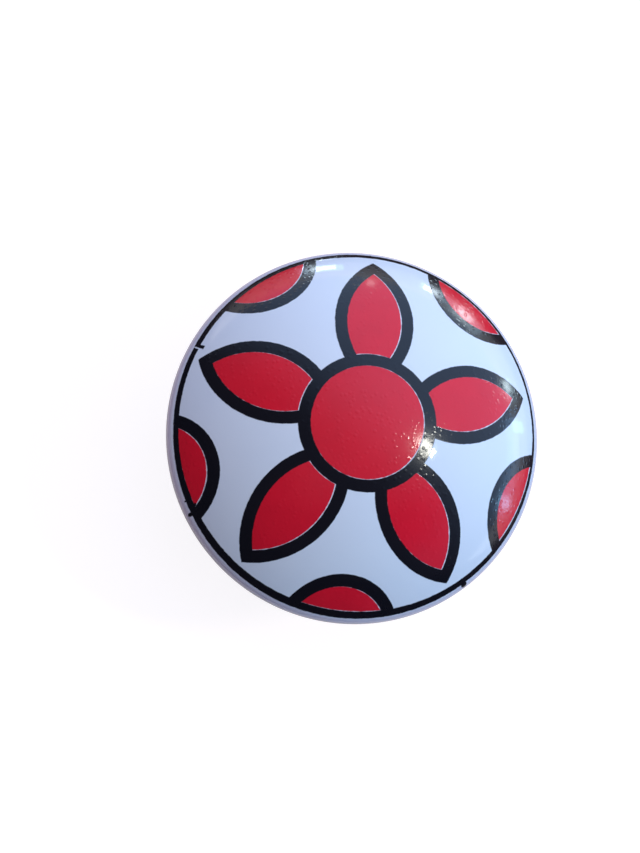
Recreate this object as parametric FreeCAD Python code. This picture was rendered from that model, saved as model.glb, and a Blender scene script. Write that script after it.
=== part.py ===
import FreeCAD, Part
import math
import os

Vec = FreeCAD.Vector

# A glazed cabinet knob that stands on its foot: +Z runs up the axis to the top of the dome,
# and the origin is the centre of the foot's flat face. All lengths are in millimetres.

# Head: a flattened dome whose edge turns over in a round, with a conical underside
head_dia = 38.0
dome_rise = 9.9            # from the widest circle to the top of the dome
rim_radius = 2.6           # round that carries the dome over the widest circle
rim_turn = 30.0            # degrees that the round goes on below the widest circle
rim_bevel = 1.0            # height of the steep band that follows the round
underside_slope = 32.0     # degrees below level of the cone under the head

# Neck and foot
cove_radius = 3.0          # hollow curve between the underside and the neck
neck_dia = 14.5
neck_length = 2.7          # straight part between the two hollow curves
flare_radius = 3.4         # hollow curve between the neck and the foot's slope
flare_angle = 50.0         # degrees that it turns
foot_dia = 20.0
foot_band = 1.8            # height of the foot's upright band above the seat
foot_chamfer = 0.5         # bare edge round the seat
foot_ring_width = 2.4      # ground ring that bears on the furniture
foot_recess = 0.4          # shallow floor inside that ring

# Blind hole moulded in the back for the threaded insert
bore_dia = 9.8
bore_key_depth = 0.6       # groove that keys the cement to the ceramic
bore_key_width = 2.0
bore_key_height = 6.0      # from the recess floor to the middle of the groove
cement_over_insert = 1.5   # cement between the insert's blind end and the bore's end
cement_dish = 0.3          # how far the cement lies below the insert's open end

# Threaded insert, hexagon bar tapped M4
insert_flats = 7.0         # across flats
insert_length = 11.0
insert_end_chamfer = 25.0  # degrees of the turned chamfer on the open end's corners
groove_dia = 5.8           # turned groove that keys the insert to the cement
groove_width = 2.0
groove_height = 5.0        # from the open end to the middle of the groove
tap_core_dia = 3.3         # wall of the M4 hole, to the crests of the thread
tap_depth = 9.2            # from the open end to where the drill point starts
tap_mouth_dia = 4.2
drill_point_angle = 118.0

# Fired enamel print: thin fields that lie on the glaze
enamel = 0.08
border_width = 0.6         # black line round the dome, outside it the glaze is bare
petals = 5
print_turn = 12.0          # degrees, how the rosette happens to be turned on the knob
line_width = 1.2           # black outline round each red field
heart_dia = 11.0           # red centre of the rosette
petal_start = 4.6          # radius of a petal's inner point, under the heart's outline
petal_gap = 1.8            # bare glaze between a petal's point and the border
petal_width = 5.4
scallop_overhang = 2.4     # how far outside the dome's edge a rim scallop's circle is centred
scallop_dia = 10.4

# Sizes that follow from the ones above
head_r = head_dia / 2
neck_r = neck_dia / 2
foot_r = foot_dia / 2
bore_r = bore_dia / 2
slope = math.radians(underside_slope)
flare = math.radians(flare_angle)
turn = math.radians(rim_turn)
rim_centre_r = head_r - rim_radius
flare_end_r = neck_r + flare_radius * (1 - math.cos(flare))
flare_end_z = foot_band + (foot_r - flare_end_r) / math.tan(flare)
neck_z = flare_end_z + flare_radius * math.sin(flare)
cove_z = neck_z + neck_length
cove_end_r = neck_r + cove_radius * (1 - math.sin(slope))
cove_end_z = cove_z + cove_radius * math.cos(slope)
rim_end_r = rim_centre_r + rim_radius * math.cos(turn)
bevel_end_r = rim_end_r - rim_bevel * math.tan(turn)
bevel_end_z = cove_end_z + (bevel_end_r - cove_end_r) * math.tan(slope)
rim_end_z = bevel_end_z + rim_bevel
widest_z = rim_end_z + rim_radius * math.sin(turn)
top_z = widest_z + dome_rise
crown_radius = (rim_centre_r ** 2 + dome_rise ** 2 - rim_radius ** 2) / (2 * (dome_rise - rim_radius))
crown_z = top_z - crown_radius
join_angle = math.atan2(widest_z - crown_z, rim_centre_r)
join_r = crown_radius * math.cos(join_angle)
join_z = crown_z + crown_radius * math.sin(join_angle)
bore_end_z = foot_recess + insert_length + cement_over_insert
border_r = join_r - border_width
petal_end = border_r - petal_gap
scallop_centre = join_r + scallop_overhang


def point(r, z):
    """A point of a turned section, in the plane y = 0."""
    return Vec(r, 0, z)


def on_circle(r, z, radius, angle):
    return point(r + radius * math.cos(angle), z + radius * math.sin(angle))


def line(a, b):
    return Part.LineSegment(a, b).toShape()


def arc(r, z, radius, start, end):
    """Arc of a section about (r, z), by way of its middle."""
    middle = on_circle(r, z, radius, (start + end) / 2)
    return Part.Arc(on_circle(r, z, radius, start), middle, on_circle(r, z, radius, end)).toShape()


def turned(edges):
    """Solid of revolution of a closed section about the axis."""
    return Part.Face(Part.Wire(edges)).revolve(Vec(0, 0, 0), Vec(0, 0, 1), 360)


def chained(points):
    """Straight edges through the points and back to the first."""
    return [line(a, b) for a, b in zip(points, points[1:] + points[:1])]


def bore_outline(start_z):
    """The keyed bore's wall and end as points from its mouth to the axis."""
    middle = foot_recess + bore_key_height
    low, high = middle - bore_key_width / 2, middle + bore_key_width / 2
    wall = [point(bore_r, start_z), point(bore_r, low), point(bore_r + bore_key_depth, middle)]
    return wall + [point(bore_r, high), point(bore_r, bore_end_z), point(0, bore_end_z)]


def ball(radius):
    """Ball that the dome is the top of, with its poles level and its seam below, so that its top is plain."""
    centre, level = Vec(0, 0, crown_z), Vec(1, 0, 0)
    return Part.makeSphere(radius, centre, level).rotated(centre, level, 180)


def crown():
    """The dome down to the circle where the rim's round takes over."""
    return ball(crown_radius).common(Part.makeCylinder(head_r, top_z, Vec(0, 0, join_z)))


def knob_body():
    """Dome, rim, coved neck and ringed foot, fired as one piece with a blind keyed bore."""
    quarter = math.pi / 2
    rim = arc(rim_centre_r, widest_z, rim_radius, join_angle, -turn)
    cove = arc(neck_r + cove_radius, cove_z, cove_radius, slope + quarter, math.pi)
    flare_curve = arc(neck_r + flare_radius, neck_z, flare_radius, math.pi, math.pi + flare)
    rim_end = point(rim_end_r, rim_end_z)
    bevel_end = point(bevel_end_r, bevel_end_z)
    underside = [line(rim_end, bevel_end), line(bevel_end, point(cove_end_r, cove_end_z))]
    neck = line(point(neck_r, cove_z), point(neck_r, neck_z))
    seat_r = foot_r - foot_chamfer
    seat_inner_r = seat_r - foot_ring_width
    below = [point(flare_end_r, flare_end_z), point(foot_r, foot_band), point(foot_r, foot_chamfer)]
    below += [point(seat_r, 0), point(seat_inner_r, 0), point(seat_inner_r - foot_recess, foot_recess)]
    below += bore_outline(foot_recess) + [point(0, join_z), point(join_r, join_z)]
    straight = [line(a, b) for a, b in zip(below, below[1:])]
    return turned([rim] + underside + [cove, neck, flare_curve] + straight).fuse(crown())


def hexagon_bar(length, start_z):
    corner = Vec(insert_flats / math.sqrt(3), 0, start_z)
    corners = [FreeCAD.Rotation(Vec(0, 0, 1), angle).multVec(corner) for angle in range(0, 361, 60)]
    return Part.Face(Part.makePolygon(corners)).extrude(Vec(0, 0, length))


def insert_blank():
    """Hexagon bar with its corners turned back at the open end and one turned groove."""
    low, high = foot_recess, foot_recess + insert_length
    corner_r = insert_flats / math.sqrt(3)
    end_r = insert_flats / 2
    drop = (corner_r - end_r) * math.tan(math.radians(insert_end_chamfer))
    groove_r = groove_dia / 2
    outline = [point(0, low), point(end_r, low), point(corner_r, low + drop)]
    groove_low = low + groove_height - groove_width / 2
    groove_high = groove_low + groove_width
    outline += [point(corner_r, groove_low), point(groove_r, groove_low)]
    outline += [point(groove_r, groove_high), point(corner_r, groove_high)]
    outline += [point(corner_r, high), point(0, high)]
    return hexagon_bar(insert_length, low).common(turned(chained(outline)))


def tapped_hole():
    """Countersunk blind hole with the drill's point at its end."""
    low = foot_recess
    core_r, mouth_r = tap_core_dia / 2, tap_mouth_dia / 2
    point_height = core_r / math.tan(math.radians(drill_point_angle / 2))
    outline = [point(0, low), point(mouth_r, low), point(core_r, low + mouth_r - core_r)]
    outline += [point(core_r, low + tap_depth), point(0, low + tap_depth + point_height)]
    return turned(chained(outline))


def threaded_insert():
    return insert_blank().cut(tapped_hole())


def cement_bed():
    """Filling that holds the insert in the keyed bore, a little dished at the mouth."""
    start = foot_recess + cement_dish
    wall = bore_outline(start)
    fill = turned(chained([point(0, start)] + wall))
    return fill.cut(insert_blank())


def disc(x, y, radius):
    return Part.Face(Part.Wire(Part.makeCircle(radius, Vec(x, y, 0))))


def lens(start, end, width, grow):
    """Pointed oval along +X between two radii, where two equal circles cross; grow widens it all round."""
    half, sag = (end - start) / 2, width / 2
    radius = (half ** 2 + sag ** 2) / (2 * sag)
    centre = (start + end) / 2
    return disc(centre, radius - sag, radius + grow).common(disc(centre, sag - radius, radius + grow))


def prism(area):
    """Upright bar over a flat area, tall enough to pass through the dome."""
    bar = area.Faces[0].extrude(Vec(0, 0, crown_radius + 2 * enamel))
    bar.translate(Vec(0, 0, crown_z))
    return bar


def around(area, offset):
    """Upright bars over copies of a flat area round the axis, from an offset in steps on."""
    step = 360 / petals
    return [prism(area.rotated(Vec(0, 0, 0), Vec(0, 0, 1), print_turn + (k + offset) * step))
            for k in range(petals)]


def joined(bars):
    return bars[0].fuse(bars[1:]).removeSplitter()


def on_dome(bars):
    """What the bars cut out of a skin of enamel over the dome."""
    skin = ball(crown_radius + enamel).cut(ball(crown_radius))
    return skin.common(Part.makeCompound(bars))


def heart_and_line():
    return disc(0, 0, heart_dia / 2 + line_width)


def inside_border():
    return disc(0, 0, border_r)


def red_bars():
    """Bars of the red fields: the heart, the petals that come out from under its outline, the scallops."""
    petal = lens(petal_start, petal_end, petal_width, 0).cut(heart_and_line())
    scallop = disc(scallop_centre, 0, scallop_dia / 2).common(inside_border())
    return [prism(disc(0, 0, heart_dia / 2))] + around(petal, 0) + around(scallop, 1 / 2)


def red_print():
    return on_dome(red_bars())


def black_print():
    """Outlines of all red fields, those of the flower in one network, those of the scallops in the border."""
    petals_and_lines = around(lens(petal_start, petal_end, petal_width, line_width), 0)
    flower = joined([prism(heart_and_line())] + petals_and_lines)
    dome_edge = prism(disc(0, 0, join_r))
    scallops_and_lines = around(disc(scallop_centre, 0, scallop_dia / 2 + line_width), 1 / 2)
    border = joined([dome_edge.cut(prism(inside_border()))] + scallops_and_lines).common(dome_edge)
    return on_dome([flower.cut(red_bars()), border.cut(red_bars())])


nodes = {
    "knob_body": knob_body,
    "cement_bed": cement_bed,
    "threaded_insert": threaded_insert,
    "red_print": red_print,
    "black_print": black_print,
}

os.makedirs("parts", exist_ok=True)
for name, build in nodes.items():
    shape = build()
    shape.exportStep("parts/" + name + ".step")
    print(name, "solids", len(shape.Solids), "faces", len(shape.Faces), "valid", shape.isValid(),
          "volume", round(shape.Volume, 3))
print("projection", round(top_z, 3), "widest", round(widest_z, 3), "border from", round(join_r, 3))
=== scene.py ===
import bmesh
import bpy
import math
from mathutils import Matrix, Vector


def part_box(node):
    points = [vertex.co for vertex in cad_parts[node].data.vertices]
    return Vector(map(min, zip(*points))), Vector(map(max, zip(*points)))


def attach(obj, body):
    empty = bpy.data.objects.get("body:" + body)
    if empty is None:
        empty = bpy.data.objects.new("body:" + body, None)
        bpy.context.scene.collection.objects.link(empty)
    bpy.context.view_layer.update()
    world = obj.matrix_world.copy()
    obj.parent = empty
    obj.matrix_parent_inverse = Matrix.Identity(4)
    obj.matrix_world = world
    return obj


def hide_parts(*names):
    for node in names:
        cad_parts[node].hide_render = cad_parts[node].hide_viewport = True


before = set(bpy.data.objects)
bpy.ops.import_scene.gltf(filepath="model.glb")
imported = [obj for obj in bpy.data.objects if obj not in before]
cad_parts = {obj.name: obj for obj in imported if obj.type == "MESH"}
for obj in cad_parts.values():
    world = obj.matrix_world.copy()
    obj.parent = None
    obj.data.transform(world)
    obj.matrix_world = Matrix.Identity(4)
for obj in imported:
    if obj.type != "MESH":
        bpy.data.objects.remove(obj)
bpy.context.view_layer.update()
mm = 0.001
print("frame loaded:", sorted(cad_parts))


# Shader building

class Signal:
    # wraps an output socket, so that sums and products of signals become Math nodes
    def __init__(self, finish, socket):
        self.finish = finish
        self.socket = socket

    def maths(self, operation, *terms):
        made = self.finish.node("Math", {"operation": operation}, dict(enumerate(terms)))
        return Signal(self.finish, made.outputs[0])

    def __add__(self, other):
        return self.maths("ADD", self, other)

    def __radd__(self, other):
        return self.maths("ADD", other, self)

    def __sub__(self, other):
        return self.maths("SUBTRACT", self, other)

    def __rsub__(self, other):
        return self.maths("SUBTRACT", other, self)

    def __mul__(self, other):
        return self.maths("MULTIPLY", self, other)

    def __rmul__(self, other):
        return self.maths("MULTIPLY", other, self)

    def __truediv__(self, other):
        return self.maths("DIVIDE", self, other)

    def __neg__(self):
        return self.maths("MULTIPLY", self, -1)

    def __abs__(self):
        return self.maths("ABSOLUTE", self)

    def __pow__(self, power):
        return self.maths("POWER", self, power)


class Finish:
    # the nodes that feed the shader of a material or of the world
    def __init__(self, owner, shader="Principled BSDF", **constants):
        owner.use_nodes = True
        self.material = owner
        self.tree = owner.node_tree
        self.shader = self.tree.nodes[shader]
        for socket, value in constants.items():
            self.shader.inputs[socket.replace("_", " ")].default_value = value

    def node(self, kind, settings, inputs):
        made = self.tree.nodes.new("ShaderNode" + kind)
        for name, value in settings.items():
            setattr(made, name, value)
        for name, value in inputs.items():
            self.feed(made.inputs[name], value)
        return made

    def feed(self, socket, value):
        if isinstance(value, Signal):
            self.tree.links.new(value.socket, socket)
        elif hasattr(value, "__len__") and socket.type == "RGBA":
            socket.default_value = (*value, 1)
        else:
            socket.default_value = value

    def set(self, name, value):
        self.feed(self.shader.inputs[name], value)

    def place(self, kind="Object"):
        made = self.node("TexCoord", {}, {})
        return Signal(self, made.outputs[kind])

    def parts(self, vector):
        made = self.node("SeparateXYZ", {}, {"Vector": vector})
        return [Signal(self, output) for output in made.outputs]

    def noise(self, place, size, detail, roughness=0.5):
        # grain of the given size in metres, from 0 to 1
        inputs = {"Vector": place, "Scale": 1 / size, "Detail": detail, "Roughness": roughness}
        return Signal(self, self.node("TexNoise", {}, inputs).outputs["Fac"])

    def cells(self, place, size):
        # distance to the nearest of many scattered points, in parts of the size
        inputs = {"Vector": place, "Scale": 1 / size}
        return Signal(self, self.node("TexVoronoi", {"feature": "F1"}, inputs).outputs["Distance"])

    def clamped(self, value):
        made = self.node("Clamp", {}, {"Value": value})
        return Signal(self, made.outputs[0])

    def between(self, value, low, high):
        # 0 below low, 1 above high, smooth in between
        made = self.node("MapRange", {"interpolation_type": "SMOOTHSTEP"},
                         {"Value": value, "From Min": low, "From Max": high})
        return Signal(self, made.outputs[0])

    def mixed(self, below, above, amount):
        # colours laid over each other by an amount from 0 to 1
        made = self.node("Mix", {"data_type": "RGBA"}, {0: amount})
        self.feed(made.inputs[6], below)
        self.feed(made.inputs[7], above)
        return Signal(self, made.outputs[2])

    def relief(self, height):
        # height in metres
        made = self.node("Bump", {}, {"Height": height, "Distance": 1.0, "Strength": 1.0})
        self.feed(self.shader.inputs["Normal"], Signal(self, made.outputs[0]))


def smaller(first, *others):
    for other in others:
        first = first.maths("MINIMUM", first, other)
    return first


def larger(first, *others):
    for other in others:
        first = first.maths("MAXIMUM", first, other)
    return first


def length(x, y):
    return (x * x + y * y) ** 0.5


# The glazed body: a turned outline from the top of the dome down to the foot and up the bore

_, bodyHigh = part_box("knob_body")
knob = {
    "headRadius": bodyHigh.x,
    "top": bodyHigh.z,
    "domeRise": 9.9 * mm,
    "rimRadius": 2.6 * mm,
    "rimTurn": math.radians(30),
    "rimBevel": 1.0 * mm,
    "undersideSlope": math.radians(32),
    "undersideRound": 1.6 * mm,     # glaze softens the corner under the rim
    "coveRadius": 3.0 * mm,
    "neckRadius": 7.25 * mm,
    "flareRadius": 3.4 * mm,
    "flareAngle": math.radians(50),
    "footRadius": 10.0 * mm,
    "footBand": 1.8 * mm,
    "footRound": 0.7 * mm,
    "footChamfer": 0.5 * mm,
    "footRing": 2.4 * mm,
    "footRecess": 0.4 * mm,
    "edgeRound": 0.12 * mm,         # ground and fired edges
    "boreRadius": 4.9 * mm,
    "boreKeyDepth": 0.6 * mm,
    "boreKeyWidth": 2.0 * mm,
    "boreKeyHeight": 6.0 * mm,
    "boreEnd": 12.9 * mm,
    "turnSteps": 288,
    "domeStep": math.radians(2.5) / 3,
    "rimStep": math.radians(2.5),
    "cornerStep": math.radians(5),
    "weld": 0.0005 * mm,            # vertices nearer than this become one
    "spare": 1.0 * mm,              # the margin by which bare faces are told from glazed ones
}
sharpAngle = math.radians(30)       # steeper edges between faces stay sharp


def sectionPoint(r, z):
    return Vector((r, 0, z))


def sectionArc(centre, radius, start, end, step):
    count = max(2, math.ceil(abs(end - start) / step))
    angles = [start + (end - start) * k / count for k in range(count + 1)]
    return [centre + radius * Vector((math.cos(a), 0, math.sin(a))) for a in angles]


def rounded(corners, step):
    # straight lines through the corners, each corner with a round of its own radius
    points = [corners[0][0]]
    for (before, _), (corner, radius), (after, _) in zip(corners, corners[1:], corners[2:]):
        toBefore = (before - corner).normalized()
        toAfter = (after - corner).normalized()
        halfAngle = toBefore.angle(toAfter) / 2
        if radius == 0:
            points.append(corner)
            continue
        centre = corner + (toBefore + toAfter).normalized() * radius / math.sin(halfAngle)
        reach = radius / math.tan(halfAngle)
        start = (corner + toBefore * reach - centre).normalized()
        end = (corner + toAfter * reach - centre).normalized()
        count = max(2, math.ceil(start.angle(end) / step))
        points += [centre + radius * start.slerp(end, k / count) for k in range(count + 1)]
    return points + [corners[-1][0]]


def crownShape(k):
    # the dome's ball radius and centre height, and the angle where the rim's round takes over
    rimCentre = k["headRadius"] - k["rimRadius"]
    rise = k["domeRise"]
    ball = (rimCentre ** 2 + rise ** 2 - k["rimRadius"] ** 2) / (2 * (rise - k["rimRadius"]))
    centreZ = k["top"] - ball
    joinAngle = math.atan2(k["top"] - rise - centreZ, rimCentre)
    return ball, centreZ, joinAngle


def bodyOutline(k):
    ball, centreZ, joinAngle = crownShape(k)
    rimCentre = sectionPoint(k["headRadius"] - k["rimRadius"], k["top"] - k["domeRise"])
    points = sectionArc(sectionPoint(0, centreZ), ball, math.pi / 2, joinAngle, k["domeStep"])
    points += sectionArc(rimCentre, k["rimRadius"], joinAngle, -k["rimTurn"], k["rimStep"])[1:]
    bevelR = points[-1].x - k["rimBevel"] * math.tan(k["rimTurn"])
    bevelZ = points[-1].z - k["rimBevel"]
    neckTop = bevelZ - (bevelR - k["neckRadius"]) * math.tan(k["undersideSlope"])
    neckFoot = k["footBand"] + (k["footRadius"] - k["neckRadius"]) / math.tan(k["flareAngle"])
    seatOuter = k["footRadius"] - k["footChamfer"]
    seatInner = seatOuter - k["footRing"]
    recess = k["footRecess"]
    edge = k["edgeRound"]
    keyLow = recess + k["boreKeyHeight"] - k["boreKeyWidth"] / 2
    keyR = k["boreRadius"] + k["boreKeyDepth"]
    corners = [
        (points[-1], 0),
        (sectionPoint(bevelR, bevelZ), k["undersideRound"]),
        (sectionPoint(k["neckRadius"], neckTop), k["coveRadius"]),
        (sectionPoint(k["neckRadius"], neckFoot), k["flareRadius"]),
        (sectionPoint(k["footRadius"], k["footBand"]), k["footRound"]),
        (sectionPoint(k["footRadius"], k["footChamfer"]), edge),
        (sectionPoint(seatOuter, 0), edge),
        (sectionPoint(seatInner, 0), edge),
        (sectionPoint(seatInner - recess, recess), edge),
        (sectionPoint(k["boreRadius"], recess), edge),
        (sectionPoint(k["boreRadius"], keyLow), 0),
        (sectionPoint(keyR, keyLow + k["boreKeyWidth"] / 2), 0),
        (sectionPoint(k["boreRadius"], keyLow + k["boreKeyWidth"]), 0),
        (sectionPoint(k["boreRadius"], k["boreEnd"]), 0),
        (sectionPoint(0, k["boreEnd"]), 0),
    ]
    return points + rounded(corners, k["cornerStep"])[1:]


def meshPiece(name, bm, materials):
    # a finished piece from a bmesh, smooth but for its sharp edges
    for face in bm.faces:
        face.smooth = True
    for edge in bm.edges:
        if len(edge.link_faces) == 2 and edge.calc_face_angle(0) > sharpAngle:
            edge.smooth = False
    mesh = bpy.data.meshes.new(name)
    bm.to_mesh(mesh)
    bm.free()
    piece = bpy.data.objects.new(name, mesh)
    bpy.context.scene.collection.objects.link(piece)
    for material in materials:
        mesh.materials.append(material)
    return piece


def chainOf(bm, points):
    verts = [bm.verts.new(point) for point in points]
    edges = [bm.edges.new(pair) for pair in zip(verts, verts[1:])]
    return verts + edges


def makeBody(k, materials):
    bm = bmesh.new()
    section = chainOf(bm, bodyOutline(k))
    bmesh.ops.spin(bm, geom=section, cent=(0, 0, 0), axis=(0, 0, 1), angle=2 * math.pi,
                   steps=k["turnSteps"], use_merge=True)
    bmesh.ops.remove_doubles(bm, verts=bm.verts, dist=k["weld"])
    bmesh.ops.recalc_face_normals(bm, faces=bm.faces)
    for face in bm.faces:
        centre = face.calc_center_median()
        radius = math.hypot(centre.x, centre.y)
        inBore = radius < k["boreRadius"] + k["boreKeyDepth"] and centre.z < k["boreEnd"] + k["spare"]
        onSeat = centre.z < k["footRecess"] and radius > k["boreRadius"] + k["spare"]
        face.material_index = 1 if inBore or onSeat else 0
    return meshPiece("glazedBody", bm, materials)


# The fired print, as distances in millimetres on the dome's plan

printPlan = {
    "petals": 5,
    "turn": math.radians(12),
    "line": 1.2,
    "heartRadius": 5.5,
    "petalStart": 4.6,
    "petalGap": 1.8,
    "petalWidth": 5.4,
    "scallopOverhang": 2.4,
    "scallopRadius": 5.2,
    "border": 0.6,
    "borderSpread": 0.008,           # the border was laid a little long, to the top and the bottom
    "borderThinned": (0.20, 0.18),   # its inner edge gives way, evenly and then toward one side
    "thinSide": math.radians(50),
    "edgeSoftness": 0.07,
    "edgeWobble": 0.05,
    "redShift": (-0.065, 0.025),     # the red was laid a little to the left of its outlines
    "red": (0.85, 0.008, 0.028),
    "black": (0.006, 0.0055, 0.009),
    "white": (0.80, 0.81, 0.86),
    # painted shade: the rim's glaze is dimmed to a lavender grey
    "rimPaintedShade": (0.77, 0.67, 0.75),
    "edgePaintedShade": (0.70, 0.60, 0.58),  # painted shade with a warm cast, along the widest edge
    "backTone": (0.79, 0.77, 0.79),
    "footTone": (0.50, 0.46, 0.41),  # where the glaze gives out above the ground ring
}
printFlaws = {
    "specks": [(-16.2, -7.3, 0.17), (-16.6, -8.2, 0.22), (-15.8, -8.05, 0.10), (-17.1, -6.9, 0.09),
               (10.7, -15.1, 0.34), (10.35, -14.7, 0.13), (1.7, 18.25, 0.2), (1.15, 18.3, 0.14)],
    "breakAngle": math.radians(152.2),    # here the border's two ends miss each other
    "breakGap": (18.1, 0.6, 0.055),       # radius, half length along it, half width across it
    "breakJag": (17.75, 0.3, 0.2),        # likewise
    "jagAside": 0.22,                     # how far the jag lies to one side of the gap
}
glazeLook = {
    # heights in millimetres above the circle where the dome meets the rim
    "printStarts": (-1.5, -1.0),
    "rimFades": (-0.6, 0.1),
    "backFades": (-6.0, -3.0),
    # painted shade along the widest edge: where it starts, where it ends, and how strong it is
    "edgeShadeStarts": (-3.0, -2.4),
    "edgeShadeEnds": (-1.35, -1.0),
    "edgeShadeAmount": 0.75,
    "glazeGivesOut": (0.55, 0.05),   # millimetres above the foot's seat, raised by the cloud's noise
    "coolPools": (0.76, 0.78, 0.85),
    "redCloud": 0.86,                # how much of the red is left in the middle of a cloud
    "speckRagged": 1.5,              # how much more a speck's edge wobbles than a line's
    # noise: size, detail and, where it isn't 0.5, roughness
    "wobbleNoise": (0.5 * mm, 3),
    "cloudNoise": (2.5 * mm, 4),
    "poolNoise": (5 * mm, 3),
    "gritNoise": (0.16 * mm, 3, 0.7),
    "waveNoise": (9 * mm, 1),
    "peelNoise": (0.9 * mm, 2),
    "bitSize": 0.55 * mm,
    "bitEdge": (0.10, 0.42),
    # roughness and coat: on the bare glaze, and what the print adds
    "roughness": 0.06,
    "printRoughness": 0.04,
    "gritRoughness": 0.10,
    "coat": 0.05,
    "printCoat": 0.17,
    # relief, bits and grit in millimetres
    "waveHeight": 0.030 * mm,
    "peelHeight": 0.0012 * mm,
    "peelOnGlaze": 0.3,
    "bitHeight": 0.012,
    "gritHeight": 0.002,
    "printHeight": 0.006 * mm,
}


def folded(angle, turn, step):
    return angle.maths("WRAP", angle - turn, step / 2, -step / 2)


def printFields(x, y, plan, joinR):
    # signed distances of the red fields and of everything that the outlines reach
    step = 2 * math.pi / plan["petals"]
    radius = length(x, y)
    angle = x.maths("ARCTAN2", y, x)
    toPetal = folded(angle, plan["turn"], step)
    toScallop = folded(angle, plan["turn"] + step / 2, step)
    innerEdge = joinR - plan["border"]
    halfLength = (innerEdge - plan["petalGap"] - plan["petalStart"]) / 2
    sag = plan["petalWidth"] / 2
    arcRadius = (halfLength ** 2 + sag ** 2) / (2 * sag)
    petalX = radius * toPetal.maths("COSINE", toPetal) - (plan["petalStart"] + halfLength)
    petalY = abs(radius * toPetal.maths("SINE", toPetal)) + (arcRadius - sag)
    petal = length(petalX, petalY) - arcRadius
    scallopX = radius * toScallop.maths("COSINE", toScallop) - (joinR + plan["scallopOverhang"])
    scallopY = radius * toScallop.maths("SINE", toScallop)
    scallop = length(scallopX, scallopY) - plan["scallopRadius"]
    heart = radius - plan["heartRadius"]
    line = plan["line"]
    evenly, toSide = plan["borderThinned"]
    towardThin = x * math.cos(plan["thinSide"]) + y * math.sin(plan["thinSide"])
    borderInside = innerEdge + evenly + towardThin * (toSide / joinR)
    red = smaller(heart, larger(petal, line - heart), larger(scallop, radius - borderInside))
    reach = smaller(heart - line, petal - line, scallop - line, borderInside - radius)
    return red, larger(reach, radius - joinR - abs(y) * plan["borderSpread"])


def coverage(distance, softness):
    # 1 inside a field and 0 outside it, from the signed distance to its edge
    return distance.finish.clamped(0.5 - distance / softness)


def glazeFinish(k, plan, flaws, look):
    finish = Finish(bpy.data.materials.new("whiteGlazeWithPrint"), IOR=1.5, Coat_Roughness=0.28)
    place = finish.place()
    x, y, z = [part / mm for part in finish.parts(place)]
    ball, centreZ, joinAngle = crownShape(k)
    joinR = ball * math.cos(joinAngle) / mm
    joinZ = (centreZ + ball * math.sin(joinAngle)) / mm

    def aboveJoin(levels):
        return finish.between(z, *[joinZ + level for level in levels])

    wobble = (finish.noise(place, *look["wobbleNoise"]) - 0.5) * (2 * plan["edgeWobble"])
    shiftX, shiftY = plan["redShift"]
    holes, reach = printFields(x, y, plan, joinR)
    redField, _ = printFields(x - shiftX, y - shiftY, plan, joinR)
    lines = larger(reach, -holes) + wobble
    for speckX, speckY, speckR in flaws["specks"]:
        speck = length(x - speckX, y - speckY) + wobble * look["speckRagged"] - speckR
        lines = smaller(lines, speck)
    outward = x * math.cos(flaws["breakAngle"]) + y * math.sin(flaws["breakAngle"])
    along = y * math.cos(flaws["breakAngle"]) - x * math.sin(flaws["breakAngle"])
    jagR, jagHalf, jagWidth = flaws["breakJag"]
    jagSide = abs(along + flaws["jagAside"]) - jagWidth
    lines = smaller(lines, larger(abs(outward - jagR) - jagHalf, jagSide) + wobble)
    gapR, gapHalf, gapWidth = flaws["breakGap"]
    lines = larger(lines, -larger(abs(outward - gapR) - gapHalf, abs(along) - gapWidth) - wobble)
    onTop = aboveJoin(look["printStarts"])
    black = coverage(lines, plan["edgeSoftness"]) * onTop
    red = coverage(redField + wobble, plan["edgeSoftness"]) * onTop

    cloud = finish.noise(place, *look["cloudNoise"])
    redTone = finish.mixed(plan["red"], tuple(look["redCloud"] * c for c in plan["red"]), cloud)
    glaze = finish.mixed(plan["white"], look["coolPools"], finish.noise(place, *look["poolNoise"]))
    # painted shade: below the dome the glaze turns to the rim's dim lavender, and back to plain
    # off-white underneath
    onRim = 1 - aboveJoin(look["rimFades"])
    onBack = 1 - aboveJoin(look["backFades"])
    glaze = finish.mixed(glaze, finish.mixed(plan["rimPaintedShade"], plan["backTone"], onBack), onRim)
    # painted shade: a dim, warm band along the widest edge
    edgeShade = aboveJoin(look["edgeShadeStarts"]) * (1 - aboveJoin(look["edgeShadeEnds"]))
    glaze = finish.mixed(glaze, plan["edgePaintedShade"], edgeShade * look["edgeShadeAmount"])
    glaze = finish.mixed(glaze, plan["footTone"], finish.between(z - cloud, *look["glazeGivesOut"]))
    finish.set("Base Color", finish.mixed(finish.mixed(glaze, redTone, red), plan["black"], black))

    printed = larger(red, black)
    grit = finish.noise(place, *look["gritNoise"])
    rougher = printed * (look["printRoughness"] + look["gritRoughness"] * grit)
    finish.set("Roughness", look["roughness"] + rougher)
    finish.set("Coat Weight", look["coat"] + printed * look["printCoat"])

    wave = finish.noise(place, *look["waveNoise"]) * look["waveHeight"]
    peelHeight = (look["peelOnGlaze"] + printed) * look["peelHeight"]
    peel = finish.noise(place, *look["peelNoise"]) * peelHeight
    bits = 1 - finish.between(finish.cells(place, look["bitSize"]), *look["bitEdge"])
    crumbs = (bits * look["bitHeight"] + grit * look["gritHeight"]) * printed * mm
    finish.relief(wave + peel + crumbs + printed * look["printHeight"])
    return finish.material


bareLook = {
    "grainNoise": (0.25 * mm, 5, 0.65),
    "stainNoise": (3 * mm, 3),
    "stainEdge": (0.45, 0.7),
    "clean": (0.62, 0.58, 0.52),
    "stained": (0.45, 0.42, 0.38),
    "grain": (0.72, 0.70, 0.66),
    "roughness": 0.75,
    "grainRoughness": 0.2,
    "grainHeight": 0.02 * mm,
}


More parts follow.
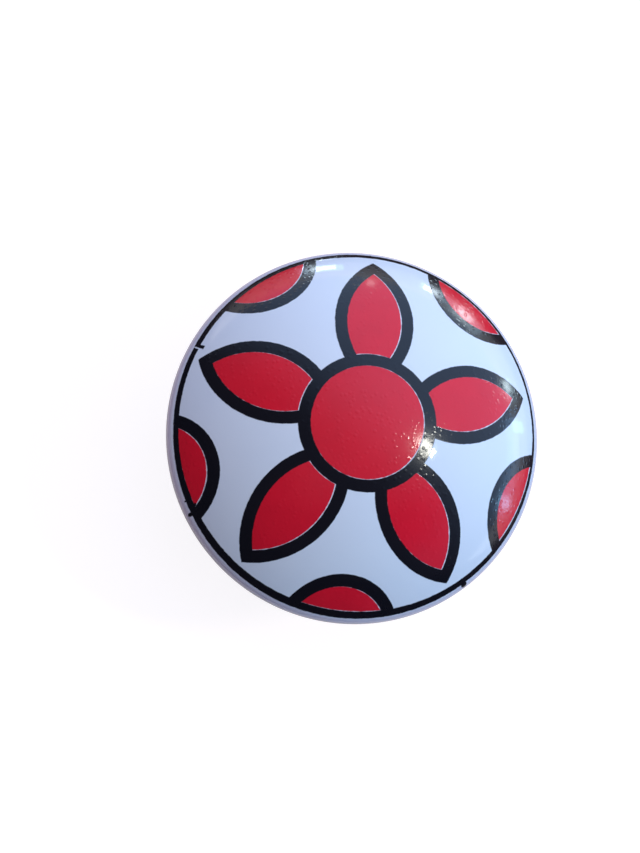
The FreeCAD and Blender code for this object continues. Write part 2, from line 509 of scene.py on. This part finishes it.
def bareCeramicFinish(look):
    finish = Finish(bpy.data.materials.new("bareCeramic"))
    place = finish.place()
    grain = finish.noise(place, *look["grainNoise"])
    stain = finish.between(finish.noise(place, *look["stainNoise"]), *look["stainEdge"])
    tone = finish.mixed(look["clean"], look["stained"], stain)
    finish.set("Base Color", finish.mixed(tone, look["grain"], grain))
    finish.set("Roughness", look["roughness"] + look["grainRoughness"] * grain)
    finish.relief(grain * look["grainHeight"])
    return finish.material


body = makeBody(knob, [glazeFinish(knob, printPlan, printFlaws, glazeLook), bareCeramicFinish(bareLook)])
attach(body, "root")
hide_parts("knob_body", "red_print", "black_print")
print("glazed body turned:", len(body.data.polygons), "faces")


# The brass insert: hexagon bar with a turned groove and a cut M4 thread

insert = {
    "apothem": 3.5 * mm,
    "low": 0.4 * mm,
    "high": 11.4 * mm,
    "chamfer": math.radians(25),
    "grooveRadius": 2.9 * mm,
    "grooveLow": 4.4 * mm,
    "grooveHigh": 6.4 * mm,
    "mouthRadius": 2.1 * mm,
    "crestRadius": 1.65 * mm,
    "rootRadius": 2.0 * mm,
    "pitch": 0.7 * mm,
    "crestFlat": 1 / 4,               # parts of the pitch
    "rootFlat": 1 / 8,
    "turnsBelow": 2,                  # spare turns, cut off again
    "turnsAbove": 1,
    "threadLow": 0.85 * mm,
    "threadHigh": 9.6 * mm,
    "pointHeight": 0.99 * mm,
    "segments": 96,
    "weld": 0.002 * mm,
    "cutSlack": 0.0001 * mm,
}
brassLook = {
    "streakNoise": (0.2 * mm, 4, 0.6),
    "tarnishNoise": (1.6 * mm, 4),
    "tarnishEdge": (0.45, 0.72),
    "ringPitch": 0.12 * mm,           # the tool's marks
    "bright": (0.78, 0.56, 0.26),
    "tarnished": (0.36, 0.23, 0.11),
    "streak": (0.88, 0.70, 0.38),
    "streakAmount": 0.4,
    "roughness": 0.24,
    "tarnishRoughness": 0.22,
    "streakRoughness": 0.1,
    "ringHeight": 0.0009 * mm,
    "streakHeight": 0.004 * mm,
}


def brassFinish(look):
    finish = Finish(bpy.data.materials.new("tarnishedBrass"), Metallic=1.0)
    place = finish.place()
    x, y, _ = finish.parts(place)
    streaks = finish.noise(place, *look["streakNoise"])
    rings = length(x, y).maths("SINE", length(x, y) * (2 * math.pi / look["ringPitch"]))
    tarnish = finish.between(finish.noise(place, *look["tarnishNoise"]), *look["tarnishEdge"])
    tone = finish.mixed(look["bright"], look["tarnished"], tarnish)
    finish.set("Base Color", finish.mixed(tone, look["streak"], streaks * look["streakAmount"]))
    tarnishRough = look["roughness"] + look["tarnishRoughness"] * tarnish
    finish.set("Roughness", tarnishRough + look["streakRoughness"] * streaks)
    finish.relief(rings * look["ringHeight"] + streaks * look["streakHeight"])
    return finish.material


def hexRadius(angle, apothem):
    side = math.radians(60)
    return apothem / math.cos(angle % side - side / 2)


def nextRing(bm, edges, place):
    # draws the ring of edges out into a band whose far ring lies where place puts it
    made = bmesh.ops.extrude_edge_only(bm, edges=edges)["geom"]
    for vert in [g for g in made if isinstance(g, bmesh.types.BMVert)]:
        angle = math.atan2(vert.co.y, vert.co.x)
        radius, z = place(angle)
        vert.co = (radius * math.cos(angle), radius * math.sin(angle), z)
    return [g for g in made if isinstance(g, bmesh.types.BMEdge) and g.is_boundary]


def threadTube(bm, k):
    # one turn's profile swept up the bore, cut off level at both ends
    crest, root, pitch = k["crestRadius"], k["rootRadius"], k["pitch"]
    turns = math.ceil((k["threadHigh"] - k["threadLow"]) / pitch) + k["turnsBelow"] + k["turnsAbove"]
    start = k["threadLow"] - k["turnsBelow"] * pitch
    rootLow = (1 + k["crestFlat"] - k["rootFlat"]) / 2
    rootHigh = rootLow + k["rootFlat"]
    profile = [(crest, 0), (crest, k["crestFlat"]), (root, rootLow), (root, rootHigh), (crest, 1)]
    chain = chainOf(bm, [sectionPoint(r, start + pitch * part) for r, part in profile])
    steps = turns * k["segments"] // 2
    bmesh.ops.spin(bm, geom=chain, cent=(0, 0, 0), axis=(0, 0, 1), angle=2 * math.pi * turns,
                   steps=steps, dvec=(0, 0, pitch * turns / steps))
    bmesh.ops.remove_doubles(bm, verts=bm.verts, dist=k["weld"])
    for level, side in ((k["threadLow"], 1), (k["threadHigh"], -1)):
        everything = bm.verts[:] + bm.edges[:] + bm.faces[:]
        bmesh.ops.bisect_plane(bm, geom=everything, plane_co=(0, 0, level), plane_no=(0, 0, side),
                               clear_inner=True, dist=k["cutSlack"])


def boundaryAt(bm, level, slack):
    return [e for e in bm.edges
            if e.is_boundary and all(abs(v.co.z - level) < slack for v in e.verts)]


def makeInsert(k, material):
    bm = bmesh.new()
    threadTube(bm, k)
    blindEnd = boundaryAt(bm, k["threadHigh"], k["weld"])
    tip = bmesh.ops.extrude_edge_only(bm, edges=blindEnd)["geom"]
    tipVerts = [g for g in tip if isinstance(g, bmesh.types.BMVert)]
    bmesh.ops.pointmerge(bm, verts=tipVerts, merge_co=(0, 0, k["threadHigh"] + k["pointHeight"]))
    threadMouth = boundaryAt(bm, k["threadLow"], k["weld"])
    mouth = bmesh.ops.create_circle(bm, segments=k["segments"], radius=k["mouthRadius"],
                                    matrix=Matrix.Translation((0, 0, k["low"])))["verts"]
    mouthRing = list({e for v in mouth for e in v.link_edges})
    bmesh.ops.bridge_loops(bm, edges=threadMouth + mouthRing)
    apothem, low, slope = k["apothem"], k["low"], math.tan(k["chamfer"])
    rings = [
        lambda a: (apothem, low),
        lambda a: (hexRadius(a, apothem), low + (hexRadius(a, apothem) - apothem) * slope),
        lambda a: (hexRadius(a, apothem), k["grooveLow"]),
        lambda a: (k["grooveRadius"], k["grooveLow"]),
        lambda a: (k["grooveRadius"], k["grooveHigh"]),
        lambda a: (hexRadius(a, apothem), k["grooveHigh"]),
        lambda a: (hexRadius(a, apothem), k["high"]),
    ]
    edges = mouthRing
    for place in rings:
        edges = nextRing(bm, edges, place)
    bmesh.ops.holes_fill(bm, edges=edges, sides=0)
    bmesh.ops.recalc_face_normals(bm, faces=bm.faces)
    return meshPiece("brassInsert", bm, [material])


threadedInsert = makeInsert(insert, brassFinish(brassLook))
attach(threadedInsert, "root")
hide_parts("threaded_insert")
print("threaded insert cut:", len(threadedInsert.data.polygons), "faces")


# The setting cement: the CAD's own mesh with a finish

cementLook = {
    "grainNoise": (0.35 * mm, 6, 0.7),
    "pitSize": 0.8 * mm,
    "pitEdge": (0.12, 0.3),
    "dark": (0.34, 0.32, 0.29),
    "light": (0.58, 0.55, 0.50),
    # painted shade: the colour inside the pits is darkened
    "pitShade": (0.16, 0.15, 0.14),
    "roughness": 0.85,
    "grainRoughness": 0.1,
    "grainHeight": 0.05 * mm,
    "pitDepth": 0.06 * mm,
}


def cementFinish(look):
    finish = Finish(bpy.data.materials.new("settingCement"))
    place = finish.place()
    grain = finish.noise(place, *look["grainNoise"])
    outsidePits = finish.between(finish.cells(place, look["pitSize"]), *look["pitEdge"])
    tone = finish.mixed(look["dark"], look["light"], grain)
    # painted shade in the pits
    finish.set("Base Color", finish.mixed(look["pitShade"], tone, outsidePits))
    finish.set("Roughness", look["roughness"] + look["grainRoughness"] * grain)
    finish.relief(grain * look["grainHeight"] + outsidePits * look["pitDepth"])
    return finish.material


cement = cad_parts["cement_bed"]
cement.data.materials.clear()
cement.data.materials.append(cementFinish(cementLook))
print("cement finished:", len(cement.data.polygons), "faces")


# Floor, lights and camera

stageLight = {
    "floorSize": 1.6,
    "floorColour": (0.44, 0.33, 0.30),
    "floorGlow": 0.80,                # near the object; the far floor is white
    "nearReflected": 0.40,            # how much of that glow the object reflects
    "glowGrows": (0.10, 0.40),
    "wallRadius": 0.8,
    "wallHeight": 0.32,
    "cardRadius": 41 * mm,            # a dark card round the stage, seen only in reflections
    "cardHeight": (16 * mm, 38 * mm),  # on the window side and on the dark side
    "cardDark": (0.030, 0.020, 0.020),
    "cardBrown": (0.36, 0.20, 0.17),
    "cardTurnsBrown": (-0.3, 0.4),    # from the dark side, -1, to the window side, 1
    "cardNoise": (6 * mm, 4),
    "cardBlotched": 0.5,
    "cardLowPart": 0.6,               # the greater, the longer the card stays low
    "wallSteps": 96,
    "floorCells": 8,
    "matt": 0.9,
    "shoulder": (15.5 * mm, 22.5 * mm),  # radius and height of the place that lamps point at
    "dark": (0.050, 0.044, 0.060),
    "bright": (0.60, 0.87, 1.38),
    "brightTurn": math.radians(50),   # the window side, from +X
    "darkEnd": -0.15,                 # how far across the sky the light grows
    "brightEnd": 0.78,
}
softLamps = [
    # broad lights that lift the colours and leave no reflection, listed as the panels are
    ("softTop", 0, 90, 420, 500, 500, 1.01, (0.77, 0.92, 1.16)),
    ("softSide", 10, 35, 600, 500, 500, 0.25, (0.28, 0.82, 1.35)),
    ("softLow", 310, 12, 300, 300, 150, 1.4, (0.25, 0.75, 1.35)),
    ("softLeft", 135, 30, 600, 500, 500, 0.60, (1.0, 0.74, 0.76)),
]
panels = [
    # name, azimuth from +X, elevation seen from the dome's shoulder, distance, width, height,
    # radiance, colour and roll
    ("smallLamp", -4.8, 53.8, 300, 52, 20, 60.0, (1.0, 1.0, 0.90), 54),
    ("paneTop", 94, -9.5, 72, 13, 4, 13.0, (0.80, 0.93, 1.0)),
    ("paneTopWide", 94, -9, 73, 21, 7, 3.2, (0.35, 0.66, 1.0)),
    ("paneSparkle", 79, 3, 80, 3, 2, 16.0, (0.90, 0.96, 0.95)),
    ("paneUpperRight", 59, -9, 72, 8, 5, 13.0, (0.84, 0.94, 1.0)),
    ("paneUpperRightWide", 58, -9, 73, 15, 8, 3.0, (0.40, 0.70, 1.0)),
    ("paneWide", 47, -9, 74, 9, 7, 10.0, (0.85, 0.95, 1.0)),
    ("paneWideSoft", 46, -7, 75, 20, 14, 2.2, (0.45, 0.76, 1.0)),
    ("paneRight", 21, -4, 80, 6, 7, 12.0, (0.80, 0.95, 1.0)),
    ("paneRightWide", 20, -5, 81, 12, 11, 3.0, (0.40, 0.75, 1.0)),
    ("paneBlue", 8, -6, 80, 6, 13, 5.0, (0.22, 0.50, 1.0)),
    ("paneLowRight", -17, -2, 84, 5, 13, 9.0, (0.26, 0.62, 1.0)),
    ("skyRight", -5, -1, 90, 62, 16, 1.6, (0.25, 0.55, 1.0)),
]


def makePanel(s, name, azimuth, elevation, distance, width, height, radiance, colour, roll=0):
    light = bpy.data.lights.new(name, "AREA")
    light.shape = "RECTANGLE"
    light.size = width * mm
    light.size_y = height * mm
    light.color = colour
    light.energy = math.pi * light.size * light.size_y * radiance
    lamp = bpy.data.objects.new(name, light)
    bpy.context.scene.collection.objects.link(lamp)
    turn, rise = math.radians(azimuth), math.radians(elevation)
    toLamp = Vector((math.cos(turn) * math.cos(rise), math.sin(turn) * math.cos(rise), math.sin(rise)))
    shoulderR, shoulderZ = s["shoulder"]
    shoulder = shoulderR * Vector((math.cos(turn), math.sin(turn), 0)) + Vector((0, 0, shoulderZ))
    lamp.location = shoulder + toLamp * distance * mm
    lamp.rotation_euler = toLamp.to_track_quat("Z", "Y").to_euler()
    lamp.rotation_euler.rotate_axis("Z", math.radians(roll))
    lamp.visible_camera = False
    return lamp


def roundWall(s, name, radius, heightAt, material, hiddenRays):
    bm = bmesh.new()
    ring = bmesh.ops.create_circle(bm, segments=s["wallSteps"], radius=radius)["verts"]
    made = bmesh.ops.extrude_edge_only(bm, edges=list({e for v in ring for e in v.link_edges}))["geom"]
    for vert in [g for g in made if isinstance(g, bmesh.types.BMVert)]:
        vert.co.z = heightAt(math.atan2(vert.co.y, vert.co.x))
    wall = meshPiece(name, bm, [material])
    for ray in hiddenRays:
        setattr(wall, "visible_" + ray, False)


def makeCard(s):
    finish = Finish(bpy.data.materials.new("darkCard"), Roughness=s["matt"])
    place = finish.place()
    x, y, _ = finish.parts(place)
    toward = (x * math.cos(s["brightTurn"]) + y * math.sin(s["brightTurn"])) / s["cardRadius"]
    brown = finish.between(toward, *s["cardTurnsBrown"])
    tone = finish.mixed(s["cardDark"], s["cardBrown"], brown)
    blotches = s["cardBlotched"] * finish.noise(place, *s["cardNoise"])
    finish.set("Base Color", finish.mixed(tone, s["cardDark"], blotches))
    low, high = s["cardHeight"]
    lowPart = s["cardLowPart"]

    def heightAt(angle):
        away = (1 - math.cos(angle - s["brightTurn"])) / 2
        return low + (high - low) * max(0, away * (1 + lowPart) - lowPart)

    hidden = ("camera", "diffuse", "transmission", "volume_scatter", "shadow")
    roundWall(s, "reflectionCard", s["cardRadius"], heightAt, finish.material, hidden)


def seenDirectly(finish, inReflections):
    path = finish.node("LightPath", {}, {})
    camera, glossy, through = [Signal(finish, path.outputs[name])
                               for name in ("Is Camera Ray", "Is Glossy Ray", "Is Transmission Ray")]
    return larger(camera, glossy * inReflections, through)


def glowWhereSeen(finish, level, inReflections=1.0):
    # adds plain white to the shader, but only for rays that see the surface directly
    glow = finish.node("Emission", {}, {"Color": (1.0, 1.0, 1.0), "Strength": 1.0})
    dark = finish.node("Emission", {}, {"Strength": 0.0})
    chosen = finish.node("MixShader", {}, {0: seenDirectly(finish, inReflections) * level})
    both = finish.node("AddShader", {}, {})
    finish.tree.links.new(dark.outputs[0], chosen.inputs[1])
    finish.tree.links.new(glow.outputs[0], chosen.inputs[2])
    finish.tree.links.new(finish.shader.outputs[0], both.inputs[0])
    finish.tree.links.new(chosen.outputs[0], both.inputs[1])
    finish.tree.links.new(both.outputs[0], finish.tree.nodes["Material Output"].inputs["Surface"])


def makeWorld(s):
    world = bpy.data.worlds.new("softRoom")
    bpy.context.scene.world = world
    finish = Finish(world, "Background")
    x, y, _ = finish.parts(finish.place("Generated"))
    toward = x * math.cos(s["brightTurn"]) + y * math.sin(s["brightTurn"])
    side = finish.between(toward, s["darkEnd"], s["brightEnd"])
    finish.set("Color", finish.mixed(s["dark"], s["bright"], side))


def makeFloor(s):
    bm = bmesh.new()
    cells = s["floorCells"]
    bmesh.ops.create_grid(bm, x_segments=cells, y_segments=cells, size=s["floorSize"] / 2)
    pale = bpy.data.materials.new("paleFloor")
    finish = Finish(pale, Roughness=s["matt"], Specular_IOR_Level=0.0)
    finish.set("Base Color", s["floorColour"])
    x, y, _ = finish.parts(finish.place())
    far = finish.between(length(x, y), *s["glowGrows"])
    near = 1 - far
    glowWhereSeen(finish, 1 - near * (1 - s["floorGlow"]), 1 - near * (1 - s["nearReflected"]))
    meshPiece("floor", bm, [finish.material])
    backdrop = Finish(bpy.data.materials.new("paleBackdrop"), Roughness=s["matt"])
    backdrop.set("Base Color", s["floorColour"])
    glowWhereSeen(backdrop, 1.0)
    hidden = ("diffuse", "glossy", "volume_scatter", "shadow")
    roundWall(s, "backdrop", s["wallRadius"], lambda angle: s["wallHeight"], backdrop.material, hidden)


view = {
    "imageWidth": 640,
    "focalPixels": 1476,
    "sensorWidth": 36.0,
    "clipStart": 5 * mm,
    "axisSeen": (0.1256, 0.146, 1.0),                        # the knob's axis in the camera's own axes
    "centreSeen": (3.44 * mm, -0.93 * mm, -150.0 * mm),      # middle of the widest circle, likewise
}


def makeCamera(v, k):
    data = bpy.data.cameras.new("photoView")
    data.sensor_fit = "HORIZONTAL"
    data.sensor_width = v["sensorWidth"]
    data.lens = v["focalPixels"] / v["imageWidth"] * v["sensorWidth"]
    data.clip_start = v["clipStart"]
    camera = bpy.data.objects.new("photoView", data)
    bpy.context.scene.collection.objects.link(camera)
    turn = Vector(v["axisSeen"]).rotation_difference(Vector((0, 0, 1))).to_matrix().to_4x4()
    widest = Vector((0, 0, k["top"] - k["domeRise"]))
    camera.matrix_world = Matrix.Translation(widest - turn @ Vector(v["centreSeen"])) @ turn
    bpy.context.scene.camera = camera


for panel in panels:
    makePanel(stageLight, *panel)
for softLamp in softLamps:
    makePanel(stageLight, *softLamp).visible_glossy = False
makeCard(stageLight)
makeWorld(stageLight)
makeFloor(stageLight)
makeCamera(view, knob)
bpy.context.scene.view_settings.view_transform = "Standard"
print("stage, lights and camera placed")
